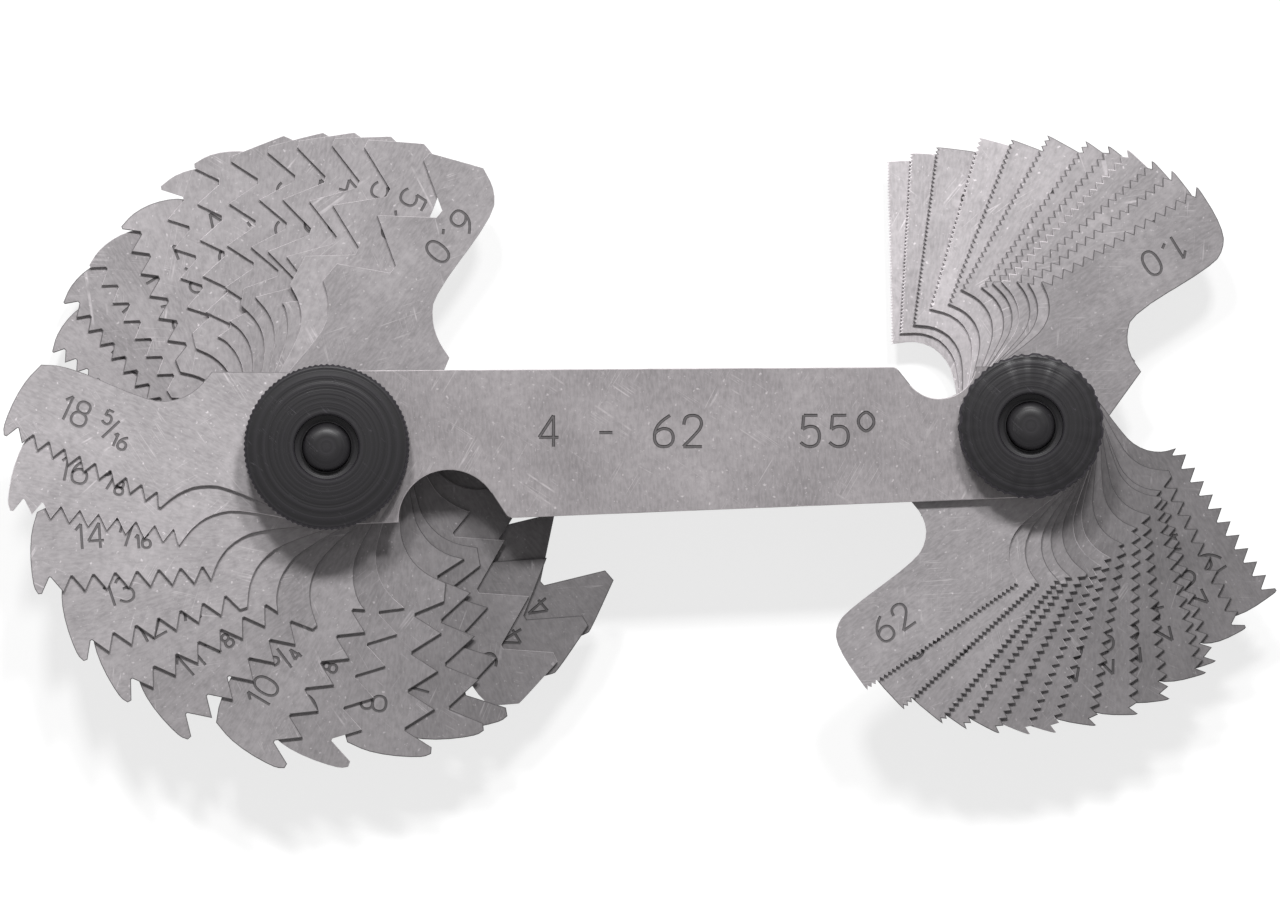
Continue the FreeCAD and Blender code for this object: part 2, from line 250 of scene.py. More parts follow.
def engrave(mesh, tool):
    """mesh with the grooves of the tool cut into it."""
    body = bpy.data.objects.new("engraved_body", mesh)
    cutter = bpy.data.objects.new("engraved_cutter", tool)
    for part in (body, cutter):
        bpy.context.scene.collection.objects.link(part)
    cut = body.modifiers.new("grooves", "BOOLEAN")
    cut.operation = "DIFFERENCE"
    cut.solver = "EXACT"
    cut.use_self = True
    cut.object = cutter
    bpy.context.view_layer.update()
    depsgraph = bpy.context.evaluated_depsgraph_get()
    result = bpy.data.meshes.new_from_object(body.evaluated_get(depsgraph))
    if len(result.polygons) <= len(mesh.polygons):
        raise RuntimeError("an engraving came out empty")
    for part, data in ((body, mesh), (cutter, tool)):
        bpy.data.objects.remove(part)
        bpy.data.meshes.remove(data)
    return result


# ---- Mesh helpers ----------------------------------------------------------------------------------------
def as_mesh(bm, name):
    """Mesh of a finished bmesh, without the shading normals that came with the frame."""
    mesh = bpy.data.meshes.new(name)
    bm.to_mesh(mesh)
    bm.free()
    if "custom_normal" in mesh.attributes:
        mesh.attributes.remove(mesh.attributes["custom_normal"])
    return mesh


def welded_copy(node):
    """Welded mesh of a frame solid, its flat faces joined up."""
    bm = bmesh.new()
    bm.from_mesh(frame["nodes"][node].data)
    bmesh.ops.remove_doubles(bm, verts=bm.verts, dist=WELD)
    bmesh.ops.dissolve_limit(bm, angle_limit=math.radians(0.3), verts=bm.verts, edges=bm.edges)
    return bm


def rim_edges(bm):
    """Edges between a flat face and a side."""
    return [edge for edge in bm.edges if len(edge.link_faces) == 2
            and sorted(abs(face.normal.z) > 0.9 for face in edge.link_faces) == [False, True]]


def break_edges(bm, width):
    """Takes the sharpness off the rims, as a stone does."""
    bmesh.ops.bevel(bm, geom=rim_edges(bm), offset=width, offset_type="OFFSET", segments=1, profile=0.5,
                    affect="EDGES", material=-1, clamp_overlap=True)


def round_outline(bm, bore):
    """Turns the short flats of an outline into curves. Teeth and the bore keep their corners."""
    edges = []
    for edge in bm.edges:
        if len(edge.link_faces) != 2 or any(abs(face.normal.z) > 0.1 for face in edge.link_faces):
            continue
        turn = math.degrees(edge.calc_face_angle())
        if 4 < turn < 46 and edge.verts[0].co.xy.length > bore:
            edges.append(edge)
    bmesh.ops.bevel(bm, geom=edges, offset=46, offset_type="PERCENT", segments=3, profile=0.5,
                    affect="EDGES", material=-1, clamp_overlap=True)


def finish_piece(name, mesh, body, nodes, slot, material, place=Matrix(), tone=1.0, sharp=32,
                 rim_depth=0.05 * MM):
    """Object for a finished mesh: shading, masks, pattern map, finish, and the frame body it rides on."""
    mark_wear(mesh, tone, rim_depth)
    lay_pattern(mesh, place)
    mesh.polygons.foreach_set("use_smooth", [abs(face.normal.z) < 0.99 for face in mesh.polygons])
    mesh.set_sharp_from_angle(angle=math.radians(sharp))
    mesh.materials.clear()
    mesh.materials.append(material)
    piece = bpy.data.objects.new(name, mesh)
    bpy.context.scene.collection.objects.link(piece)
    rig.ride(piece, body)
    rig.replaces(piece, *nodes)
    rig.slot(piece, slot)
    return piece


def mark_wear(mesh, tone, rim_depth):
    """Face masks: rim on broken edges, which carries wear and a painted edge highlight; painted shade on faces sunk
    below the flat that a face is cut in; and the piece's tone.
    """
    top = max(vertex.co.z for vertex in mesh.vertices)
    bottom = min(vertex.co.z for vertex in mesh.vertices)
    rim, painted_sunk_shade, light = [mesh.attributes.new(name, "FLOAT", "FACE") for name in ("rim", "painted_sunk_shade", "tone")]
    for face in mesh.polygons:
        lean = abs(face.normal.z)
        middle = face.center.z
        near = min(top - middle, middle - bottom)
        rim.data[face.index].value = 1.0 if 0.3 < lean < 0.95 and near < rim_depth else 0.0
        # Faces sunk below the flat get the mask for painted shade in the grooves.
        painted_sunk_shade.data[face.index].value = 1.0 if lean > 0.3 and near > 0.03 * MM else 0.0
        light.data[face.index].value = tone


def lay_pattern(mesh, place):
    """Map in metres, flat on the piece and turned with it, so that its grain runs the way it was ground."""
    inverse = place.inverted()
    shift = pattern_shift(mesh)
    layer = mesh.uv_layers.new(name="plan")
    flat = [(inverse @ vertex.co).xy + shift for vertex in mesh.vertices]
    for loop in mesh.loops:
        layer.data[loop.index].uv = flat[loop.vertex_index]


def pattern_shift(mesh):
    """Offset of the pattern that differs from piece to piece and is the same in every run."""
    height = max(vertex.co.z for vertex in mesh.vertices) / MM
    return Vector((0.37 * height % 1.0, 0.61 * height % 1.0))


# ---- Shader node groups ----------------------------------------------------------------------------------
def new_group(name, inputs, outputs):
    """Empty shader group with its sockets, its input node and its output node."""
    group = bpy.data.node_groups.new(name, "ShaderNodeTree")
    for label, kind, value in inputs:
        socket = group.interface.new_socket(label, in_out="INPUT", socket_type="NodeSocket" + kind)
        if value is not None:
            socket.default_value = value
    for label, kind in outputs:
        group.interface.new_socket(label, in_out="OUTPUT", socket_type="NodeSocket" + kind)
    return group, group.nodes.new("NodeGroupInput").outputs, group.nodes.new("NodeGroupOutput").inputs


def link(tree, source, target):
    """Wires source into target, or sets target where source is a plain value."""
    if isinstance(source, bpy.types.NodeSocket):
        tree.links.new(source, target)
    else:
        target.default_value = source


def maths(tree, operation, *values):
    node = tree.nodes.new("ShaderNodeMath")
    node.operation = operation
    for value, socket in zip(values, node.inputs):
        link(tree, value, socket)
    return node.outputs[0]


def vector_maths(tree, operation, *values):
    node = tree.nodes.new("ShaderNodeVectorMath")
    node.operation = operation
    for value, socket in zip(values, node.inputs):
        link(tree, value, socket)
    return node.outputs[1] if operation == "LENGTH" else node.outputs[0]


def noise(tree, vector, scale, detail=3.0, roughness=0.5):
    node = tree.nodes.new("ShaderNodeTexNoise")
    link(tree, vector, node.inputs["Vector"])
    link(tree, scale, node.inputs["Scale"])
    node.inputs["Detail"].default_value = detail
    node.inputs["Roughness"].default_value = roughness
    return node.outputs[0]


def spread(tree, value, low, high, to_low=0.0, to_high=1.0):
    """value stretched from low..high to to_low..to_high and held there."""
    node = tree.nodes.new("ShaderNodeMapRange")
    for source, label in ((value, "Value"), (low, "From Min"), (high, "From Max"),
                          (to_low, "To Min"), (to_high, "To Max")):
        link(tree, source, node.inputs[label])
    return node.outputs[0]


def mix_colour(tree, share, first, second, blend="MIX"):
    node = tree.nodes.new("ShaderNodeMix")
    node.data_type = "RGBA"
    node.blend_type = blend
    link(tree, share, node.inputs[0])
    link(tree, first, node.inputs[6])
    link(tree, second, node.inputs[7])
    return node.outputs[2]


def ground_grain_group():
    """Fine lengthwise lines that grinding and rolling leave."""
    group, given, result = new_group(
        "ground_grain", [("Vector", "Vector", None), ("Scale", "Float", 900.0), ("Stretch", "Float", 14.0)],
        [("Grain", "Float")])
    joined = group.nodes.new("ShaderNodeCombineXYZ")
    link(group, 1.0, joined.inputs[0])
    link(group, given["Stretch"], joined.inputs[1])
    link(group, given["Stretch"], joined.inputs[2])
    stretched = vector_maths(group, "MULTIPLY", given["Vector"], joined.outputs[0])
    link(group, noise(group, stretched, given["Scale"], 2.0), result["Grain"])
    return group


def scratches_group():
    """Thin stray scratches that start and stop, lying one way."""
    group, given, result = new_group(
        "stray_scratches", [("Vector", "Vector", None), ("Turn", "Float", 0.4), ("Scale", "Float", 60.0),
                            ("Width", "Float", 0.02)], [("Scratches", "Float")])
    turned = group.nodes.new("ShaderNodeVectorRotate")
    turned.rotation_type = "Z_AXIS"
    link(group, given["Vector"], turned.inputs["Vector"])
    link(group, given["Turn"], turned.inputs["Angle"])
    stretched = vector_maths(group, "MULTIPLY", turned.outputs[0], (1.0, 45.0, 1.0))
    line = noise(group, stretched, given["Scale"], 1.0)
    away = maths(group, "ABSOLUTE", maths(group, "SUBTRACT", line, 0.5))
    thin = spread(group, away, 0.0, given["Width"], 1.0, 0.0)
    patches = spread(group, noise(group, turned.outputs[0], maths(group, "MULTIPLY", given["Scale"], 12.0)),
                     0.54, 0.64)
    link(group, maths(group, "MULTIPLY", thin, patches), result["Scratches"])
    return group


def mottle_group():
    """Soft cloudy patches and small specks, as handled steel has."""
    group, given, result = new_group(
        "handling_mottle", [("Vector", "Vector", None), ("Scale", "Float", 120.0)],
        [("Clouds", "Float"), ("Specks", "Float")])
    clouds = noise(group, given["Vector"], given["Scale"], 4.0, 0.6)
    link(group, spread(group, clouds, 0.3, 0.7), result["Clouds"])
    fine = noise(group, given["Vector"], maths(group, "MULTIPLY", given["Scale"], 22.0), 2.0)
    link(group, spread(group, fine, 0.66, 0.74), result["Specks"])
    return group


def edge_wear_group():
    """Bare bright metal along the broken edges, patchy; on the ground steel it is also a painted highlight along every
    edge.
    """
    group, given, result = new_group(
        "edge_wear_and_highlight", [("Vector", "Vector", None), ("Rim", "Float", 0.0), ("Amount", "Float", 0.6)],
        [("Wear and highlight", "Float")])
    patches = spread(group, noise(group, given["Vector"], 500.0), 0.3, 0.6, 0.35, 1.0)
    worn = maths(group, "MULTIPLY", given["Rim"], patches)
    link(group, maths(group, "MULTIPLY", worn, given["Amount"]), result["Wear and highlight"])
    return group


def turned_rings_group():
    """Concentric marks of a lathe tool, about the pattern's own centre."""
    group, given, result = new_group(
        "turned_rings", [("Vector", "Vector", None), ("Scale", "Float", 2200.0)], [("Rings", "Float")])
    flat = vector_maths(group, "MULTIPLY", given["Vector"], (1.0, 1.0, 0.0))
    node = group.nodes.new("ShaderNodeTexNoise")
    node.noise_dimensions = "1D"
    link(group, vector_maths(group, "LENGTH", flat), node.inputs["W"])
    link(group, given["Scale"], node.inputs["Scale"])
    node.inputs["Detail"].default_value = 2.0
    link(group, node.outputs[0], result["Rings"])
    return group


def shader_group(name):
    """The named effect, built once."""
    makers = {"ground_grain": ground_grain_group, "stray_scratches": scratches_group,
              "handling_mottle": mottle_group, "edge_wear_and_highlight": edge_wear_group,
              "turned_rings": turned_rings_group}
    return bpy.data.node_groups.get(name) or makers[name]()


def use_group(tree, name, **values):
    """Places the named effect in a material and returns its outputs."""
    node = tree.nodes.new("ShaderNodeGroup")
    node.node_tree = shader_group(name)
    for label, value in values.items():
        link(tree, value, node.inputs[label])
    return node.outputs


def attribute(tree, name):
    node = tree.nodes.new("ShaderNodeAttribute")
    node.attribute_name = name
    return node.outputs["Fac"]


def pattern_space(tree, centre=(0.0, 0.0, 0.0), turn=0.0):
    """Object coordinates, centred and turned for one piece."""
    coordinates = tree.nodes.new("ShaderNodeTexCoord")
    mapping = tree.nodes.new("ShaderNodeMapping")
    mapping.vector_type = "TEXTURE"
    mapping.inputs["Location"].default_value = centre
    mapping.inputs["Rotation"].default_value = (0.0, 0.0, turn)
    tree.links.new(coordinates.outputs["Object"], mapping.inputs["Vector"])
    return mapping.outputs[0]


def new_material(name):
    material = bpy.data.materials.new(name)
    material.use_nodes = True
    return material, material.node_tree, material.node_tree.nodes["Principled BSDF"]


def steel_material(name, colour):
    """Ground tool steel, satin, with mottle, stray scratches, painted shade in the cuts and bright edges that are
    partly wear and partly a painted highlight.
    """
    material, tree, shader = new_material(name)
    plan = tree.nodes.new("ShaderNodeUVMap")
    plan.uv_map = "plan"
    space = plan.outputs[0]
    mottle = use_group(tree, "handling_mottle", Vector=space, Scale=120.0)
    fine = use_group(tree, "handling_mottle", Vector=space, Scale=1500.0)
    lines = use_group(tree, "ground_grain", Vector=space, Scale=1500.0, Stretch=3.2)["Grain"]
    one_way = use_group(tree, "stray_scratches", Vector=space, Turn=0.55, Scale=24.0, Width=0.010)
    other_way = use_group(tree, "stray_scratches", Vector=space, Turn=-0.95, Scale=31.0, Width=0.008)
    scratches = maths(tree, "MAXIMUM", one_way["Scratches"], other_way["Scratches"])
    rim_wear_and_highlight = use_group(tree, "edge_wear_and_highlight", Vector=space, Rim=attribute(tree, "rim"), Amount=1.0)["Wear and highlight"]
    dark = tuple(part * 0.76 for part in colour) + (1.0,)
    light = tuple(part * 1.3 for part in colour) + (1.0,)
    bright = tuple(min(1.0, part * 2.3) for part in colour) + (1.0,)
    base = mix_colour(tree, mottle["Clouds"], dark, light)
    base = mix_colour(tree, maths(tree, "MULTIPLY", fine["Clouds"], 0.6), base,
                      tuple(part * 0.62 for part in colour) + (1.0,))
    base = mix_colour(tree, spread(tree, lines, 0.4, 0.62, 0.0, 0.34), base,
                      tuple(part * 1.28 for part in colour) + (1.0,))
    base = mix_colour(tree, maths(tree, "MULTIPLY", mottle["Specks"], 0.5), base, bright)
    base = mix_colour(tree, maths(tree, "MULTIPLY", scratches, 0.4), base, bright)
    # Painted highlight, partly edge wear: the broken rims are lightened towards bright bare steel all round.
    base = mix_colour(tree, rim_wear_and_highlight, base, bright)
    # Painted shade: faces sunk below the flat, the engraved grooves above all, are darkened towards a fifth of the
    # steel colour.
    base = mix_colour(tree, maths(tree, "MULTIPLY", attribute(tree, "painted_sunk_shade"), 0.8), base,
                      tuple(part * 0.22 for part in colour) + (1.0,))
    toned = vector_maths(tree, "SCALE", base)
    tree.links.new(attribute(tree, "tone"), toned.node.inputs["Scale"])
    tree.links.new(toned, shader.inputs["Base Color"])
    shader.inputs["Metallic"].default_value = 0.2
    shader.inputs["Specular IOR Level"].default_value = 0.3
    rough = spread(tree, mottle["Clouds"], 0.0, 1.0, 0.58, 0.48)
    tree.links.new(maths(tree, "SUBTRACT", rough, maths(tree, "MULTIPLY", scratches, 0.12)),
                   shader.inputs["Roughness"])
    bump = tree.nodes.new("ShaderNodeBump")
    bump.inputs["Strength"].default_value = 0.3
    bump.inputs["Distance"].default_value = 0.00002
    height = maths(tree, "SUBTRACT", maths(tree, "ADD", lines, fine["Clouds"]),
                   maths(tree, "MULTIPLY", scratches, 0.8))
    tree.links.new(height, bump.inputs["Height"])
    tree.links.new(bump.outputs[0], shader.inputs["Normal"])
    return material


def black_material(name, colour, centre, ring_strength=0.5, worn=0.5):
    """Blackened steel, turned, with rings, lighter bands along the rings, scratches and grey worn edges."""
    material, tree, shader = new_material(name)
    space = pattern_space(tree, centre)
    rings = use_group(tree, "turned_rings", Vector=space, Scale=2600.0)["Rings"]
    mottle = use_group(tree, "handling_mottle", Vector=space, Scale=260.0)
    scratches = use_group(tree, "stray_scratches", Vector=space, Turn=0.8, Scale=90.0,
                          Width=0.014)["Scratches"]
    rim_wear_and_highlight = use_group(tree, "edge_wear_and_highlight", Vector=space, Rim=attribute(tree, "rim"), Amount=worn)["Wear and highlight"]
    dark = tuple(part * 0.75 for part in colour) + (1.0,)
    light = tuple(part * 1.45 for part in colour) + (1.0,)
    bare = tuple(part * 9.0 for part in colour) + (1.0,)
    base = mix_colour(tree, mottle["Clouds"], dark, light)
    base = mix_colour(tree, maths(tree, "MULTIPLY", spread(tree, rings, 0.45, 0.65), 0.5), base,
                      tuple(part * 2.6 for part in colour) + (1.0,))
    base = mix_colour(tree, maths(tree, "MULTIPLY", scratches, 0.55), base, bare)
    base = mix_colour(tree, rim_wear_and_highlight, base, bare)
    tree.links.new(base, shader.inputs["Base Color"])
    shader.inputs["Metallic"].default_value = 0.1
    shader.inputs["Specular IOR Level"].default_value = 0.3
    rough = spread(tree, mottle["Clouds"], 0.0, 1.0, 0.46, 0.32)
    tree.links.new(maths(tree, "ADD", rough, spread(tree, rings, 0.4, 0.65, 0.0, 0.12)),
                   shader.inputs["Roughness"])
    bump = tree.nodes.new("ShaderNodeBump")
    bump.inputs["Strength"].default_value = ring_strength
    bump.inputs["Distance"].default_value = 0.00006
    tree.links.new(maths(tree, "SUBTRACT", rings, maths(tree, "MULTIPLY", scratches, 0.4)),
                   bump.inputs["Height"])
    tree.links.new(bump.outputs[0], shader.inputs["Normal"])
    return material


# ---- Settings --------------------------------------------------------------------------------------------
class GAUGE_PG_blades(bpy.types.PropertyGroup):
    steel: FloatVectorProperty(name="Steel", description="Colour of the blades", subtype="COLOR",
                               size=3, min=0.0, max=1.0, default=(0.355, 0.335, 0.345))
    edge_break: FloatProperty(name="Edge break", description="Width of the broken edge round a blade",
                              default=0.07 * MM, unit="LENGTH")
    figure_height: FloatProperty(name="Figure height", description="Height of the engraved numbers",
                                 default=2.1 * MM, unit="LENGTH")
    small_figure_height: FloatProperty(name="Bolt size height",
                                       description="Height of the numbers of a bolt size",
                                       default=1.15 * MM, unit="LENGTH")
    groove_width: FloatProperty(name="Groove width", description="Width of an engraved line",
                                default=0.23 * MM, unit="LENGTH")


class GAUGE_PG_holder(bpy.types.PropertyGroup):
    steel: FloatVectorProperty(name="Steel", description="Colour of the plates", subtype="COLOR",
                               size=3, min=0.0, max=1.0, default=(0.30, 0.28, 0.288))
    edge_break: FloatProperty(name="Edge break", description="Width of the broken edge round a plate",
                              default=0.06 * MM, unit="LENGTH")
    threads: StringProperty(name="Threads", description="Range in threads an inch, on the front plate",
                            default="4 - 62")
    angle: StringProperty(name="Angle", description="Thread angle in degrees, on the front plate",
                          default="55o")
    figure_height: FloatProperty(name="Figure height", description="Height of the figures on the plate",
                                 default=2.6 * MM, unit="LENGTH")
    groove_width: FloatProperty(name="Groove width", description="Width of an engraved line",
                                default=0.27 * MM, unit="LENGTH")
    figures_start: FloatVectorProperty(name="Figures start", description="Foot of the first figure",
                                       subtype="TRANSLATION", size=3, default=(17.6 * MM, -0.5 * MM, 0))
    figures_turn: FloatProperty(name="Figures turn", description="Slant of the line of figures",
                                default=math.radians(-1.7), unit="ROTATION")
    angle_offset: FloatProperty(name="Angle offset", description="From the first figure to the angle",
                                default=21.7 * MM, unit="LENGTH")


class GAUGE_PG_nuts(bpy.types.PropertyGroup):
    black: FloatVectorProperty(name="Black", description="Colour of the blackened parts", subtype="COLOR",
                               size=3, min=0.0, max=1.0, default=(0.0062, 0.0055, 0.0068))
    left_ridges: IntProperty(name="Left ridges", description="Ridges round the left nut", default=90,
                             min=12)
    right_ridges: IntProperty(name="Right ridges", description="Ridges round the right nut", default=63,
                              min=12)
    knurl_depth: FloatProperty(name="Knurl depth", description="Depth of the grooves, to their pitch",
                               default=0.24, unit="NONE")


class GAUGE_PG_stage(bpy.types.PropertyGroup):
    distance: FloatProperty(name="Camera distance", description="From the camera to the front plate",
                            default=2.5, unit="LENGTH")
    view_width: FloatProperty(name="View width", description="Width that the camera sees",
                              default=106.2 * MM, unit="LENGTH")
    roll: FloatProperty(name="Roll", description="Turn of the camera about its own axis",
                        default=math.radians(-1.71), unit="ROTATION")
    lamp_power: FloatProperty(name="Lamp power", description="Power of each soft lamp", default=3.4,
                              unit="POWER")
    daylight: FloatProperty(name="Daylight", description="Strength of the light all round", default=0.16)


class GAUGE_PG_settings(bpy.types.PropertyGroup):
    blades: PointerProperty(type=GAUGE_PG_blades)
    holder: PointerProperty(type=GAUGE_PG_holder)
    nuts: PointerProperty(type=GAUGE_PG_nuts)
    stage: PointerProperty(type=GAUGE_PG_stage)


# ---- Blades ----------------------------------------------------------------------------------------------
def blade_facts(node):
    """Family, size and rest direction of a blade, from its name and its joint."""
    inch = node.endswith("tpi")
    size = float(node.removeprefix("leaf_").removesuffix("tpi" if inch else "mm").replace("_", "."))
    left = size <= FINEST_LEFT_INCH if inch else size >= FINEST_LEFT_METRIC
    family = FAMILIES[("left" if left else "right") + ("_inch" if inch else "_metric")]
    joint = next(joint for joint in frame["joints"] if joint["name"] == node + "_pivot")
    return inch, size, family, left, joint


def blade_label(inch, size):
    if inch:
        return f"{size:g}"
    return f"{size:.1f}" if abs(size * 10 - round(size * 10)) < 1e-6 else f"{size:.2f}"


def tooth_depth(inch, pitch):
    cut_share, half_angle = (0.76, 27.5) if inch else (0.75, 30)
    return pitch * (cut_share / 2 / math.tan(math.radians(half_angle)))


def cut_fine_teeth(bm, pitch, depth):
    """Cuts V teeth in a straight edge by dividing it and moving every other point in and out."""
    crest = max(vertex.co.y for vertex in bm.verts)
    straight = [edge for edge in bm.edges if edge.calc_length() > 5 * MM
                and all(vertex.co.y > crest - WELD for vertex in edge.verts)]
    teeth = round(straight[0].calc_length() / pitch)
    bmesh.ops.subdivide_edges(bm, edges=straight, cuts=2 * teeth - 1, use_grid_fill=True)
    points = sorted((vertex for vertex in bm.verts if vertex.co.y > crest - WELD),
                    key=lambda vertex: -vertex.co.x)
    crests = [vertex for place, vertex in enumerate(points) if place // 2 % 2 == 0]
    roots = [vertex for place, vertex in enumerate(points) if place // 2 % 2 == 1]
    bmesh.ops.translate(bm, verts=crests, vec=(0, depth / 2, 0))
    bmesh.ops.translate(bm, verts=roots, vec=(0, -depth / 2, 0))


def build_blade(node, settings, material, tone):
    """One blade: welded from the frame, outline rounded, fine teeth cut, edges broken, number engraved."""
    inch, size, family, left, joint = blade_facts(node)
    pitch = MM_PER_INCH / size if inch else size
    direction = math.radians(family["folded"] - family["sign"] * joint["range_deg"][0])
    pivot = Matrix.Translation(Vector((0 if left else pivot_of("right"), 0, 0)))
    place = pivot @ Matrix.Rotation(direction, 4, "Z")
    bm = welded_copy(node)
    bmesh.ops.transform(bm, matrix=place.inverted(), verts=bm.verts)
    round_outline(bm, 3 * MM)
    depth = tooth_depth(inch, pitch) * MM
    if pitch < STRAIGHT_EDGED:
        cut_fine_teeth(bm, pitch * MM, depth)
    break_edges(bm, settings.edge_break)
    crest = max(vertex.co.y for vertex in bm.verts)
    tip = max(vertex.co.x for vertex in bm.verts)
    top = max(vertex.co.z for vertex in bm.verts)
    bmesh.ops.transform(bm, matrix=place, verts=bm.verts)
    mesh = as_mesh(bm, node.replace("leaf", "blade"))

    middle = (family["smooth_edge"] * MM + crest - depth) / 2
    height = min(settings.figure_height, (crest - depth - family["smooth_edge"] * MM) * 0.62)
    strokes, end = strokes_of(blade_label(inch, size), height, (0, -height / 2))
    if inch and size in BOLT_SIZES:
        small = settings.small_figure_height
        over, under = (str(number) for number in BOLT_SIZES[size])
        gap = 0.5 * MM
        upper, _ = strokes_of(over, small, (end + gap, height * 0.06))
        slash, _ = strokes_of("/", small * 1.3, (end + gap + 0.6 * MM, -small * 0.75))
        lower, _ = strokes_of(under, small, (end + gap + 1.3 * MM, -height * 0.62))
        strokes += upper + slash + lower
    writing = place @ Matrix.Translation((tip - family["first_digit"] * MM, middle, top)) @ \
        Matrix.Rotation(math.pi, 4, "Z")
    mesh = engrave(mesh, engraving_tool(strokes, settings.groove_width, writing))
    mesh.name = node.replace("leaf", "blade")
    return finish_piece(node.replace("leaf", "blade"), mesh, node, [node], "leaf_steel", material, place,
                        tone)


def pivot_of(side):
    """x of a pivot, the middle of its screw."""
    low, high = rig.box(side + "_pivot_screw")
    return (low[0] + high[0]) / 2


def blade_nodes():
    """Blades by stack, from front to back."""
    nodes = [name for name in frame["nodes"] if name.startswith("leaf_")]
    return sorted(nodes, key=lambda name: (blade_facts(name)[3], -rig.box(name)[1][2]))


class GAUGE_OT_blades(bpy.types.Operator):
    """Makes the 52 toothed blades"""
    bl_idname = "gauge.blades"
    bl_label = "Blades"

    def execute(self, context):
        settings = context.scene.gauge.blades
        finish = steel_material("blade_steel_finish", settings.steel)
        for family in FAMILIES.values():
            nodes = [node for node in blade_nodes() if blade_facts(node)[2] is family]
            for rank, node in enumerate(nodes):
                first, last = family["tones"]
                tone = last + (first - last) * (1 - rank / (len(nodes) - 1)) ** family["fall"]
                build_blade(node, settings, finish, tone * (0.95, 1.03, 1.0, 1.06, 0.97)[rank % 5])
        return {"FINISHED"}


# ---- Holder ----------------------------------------------------------------------------------------------
class GAUGE_OT_holder(bpy.types.Operator):
    """Makes the two holder plates"""
    bl_idname = "gauge.holder"
    bl_label = "Holder plates"

    def execute(self, context):
        settings = context.scene.gauge.holder
        finish = steel_material("plate_steel_finish", settings.steel)
        for node in ("front_plate", "back_plate"):
            bm = welded_copy(node)
            break_edges(bm, settings.edge_break)
            mesh = as_mesh(bm, node + "_dressed")
            if node == "front_plate":
                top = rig.box(node)[1][2]
                height = settings.figure_height
                strokes, _ = strokes_of(settings.threads, height, (0, 0))
                angle, _ = strokes_of(settings.angle, height, (settings.angle_offset, 0))
                writing = Matrix.Translation(Vector(settings.figures_start) + Vector((0, 0, top))) @ \
                    Matrix.Rotation(settings.figures_turn, 4, "Z")
                mesh = engrave(mesh, engraving_tool(strokes + angle, settings.groove_width, writing))
            finish_piece(node + "_dressed", mesh, "holder", [node], "plate_steel", finish,
                         Matrix.Rotation(math.pi / 2, 4, "Z"))
        return {"FINISHED"}


# ---- Nuts and screws -------------------------------------------------------------------------------------
def stacked_rings(rings, segments, knurl_depth=0.0):
    """Closed turned body. Each ring is (radius, z, knurled), and the last one closes on to the first."""
    bm = bmesh.new()
    first = bmesh.ops.create_circle(bm, segments=segments, radius=1.0, cap_ends=False)["verts"]
    edges = list(bm.edges)
    start = list(bm.edges)
    shape_ring(first, rings[0], knurl_depth)
    for ring in rings[1:]:
        made = bmesh.ops.extrude_edge_only(bm, edges=edges)["geom"]
        edges = [item for item in made if isinstance(item, bmesh.types.BMEdge)
                 and all(vertex in made for vertex in item.verts)]
        shape_ring([item for item in made if isinstance(item, bmesh.types.BMVert)], ring, knurl_depth)
    bmesh.ops.bridge_loops(bm, edges=start + edges)
    bmesh.ops.recalc_face_normals(bm, faces=bm.faces)
    return bm


def shape_ring(verts, ring, knurl_depth):
    """Puts the points of a ring at its radius and height, every other one lower where it is knurled."""
    radius, z, knurled = ring
    step = 2 * math.pi / len(verts)
    for vertex in verts:
        angle = math.atan2(vertex.co.y, vertex.co.x)
        lower = knurled and round(angle / step) % 2
        reach = radius - (knurl_depth if lower else 0)
        vertex.co = (reach * math.cos(angle), reach * math.sin(angle), z)


class GAUGE_OT_nuts(bpy.types.Operator):
    """Makes the two knurled nuts"""
    bl_idname = "gauge.nuts"
    bl_label = "Knurled nuts"

    def execute(self, context):
        settings = context.scene.gauge.nuts
        for side in ("left", "right"):
            node = side + "_nut"
            low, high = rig.box(node)
            rim = (high[0] - low[0]) / 2
            ridges = getattr(settings, side + "_ridges")
            depth = settings.knurl_depth * 2 * math.pi * rim / ridges
            hole, counterbore = 2.05 * MM, 2.7 * MM
            rings = [(hole, low[2], 0), (rim - 0.5 * MM, low[2], 0), (rim, low[2] + 0.35 * MM, 1),
                     (rim, high[2] - 0.16 * MM, 1), (rim - 0.14 * MM, high[2] - 0.03 * MM, 1),
                     (rim - 0.34 * MM, high[2], 0), (counterbore + 0.1 * MM, high[2], 0),
                     (counterbore, high[2] - 0.1 * MM, 0), (counterbore - 0.05 * MM, high[2] - 0.9 * MM, 0),
                     (hole, high[2] - 1.0 * MM, 0)]
            bm = stacked_rings(rings, 2 * ridges, depth)
            place = Matrix.Translation((pivot_of(side), 0, 0))
            bmesh.ops.transform(bm, matrix=place, verts=bm.verts)
            mesh = as_mesh(bm, node + "_knurled")
            finish = black_material(node + "_black", settings.black, (pivot_of(side), 0, 0))
            finish_piece(node + "_knurled", mesh, node, [node], "black_oxide", finish, sharp=35,
                         rim_depth=0.2 * MM)
        return {"FINISHED"}


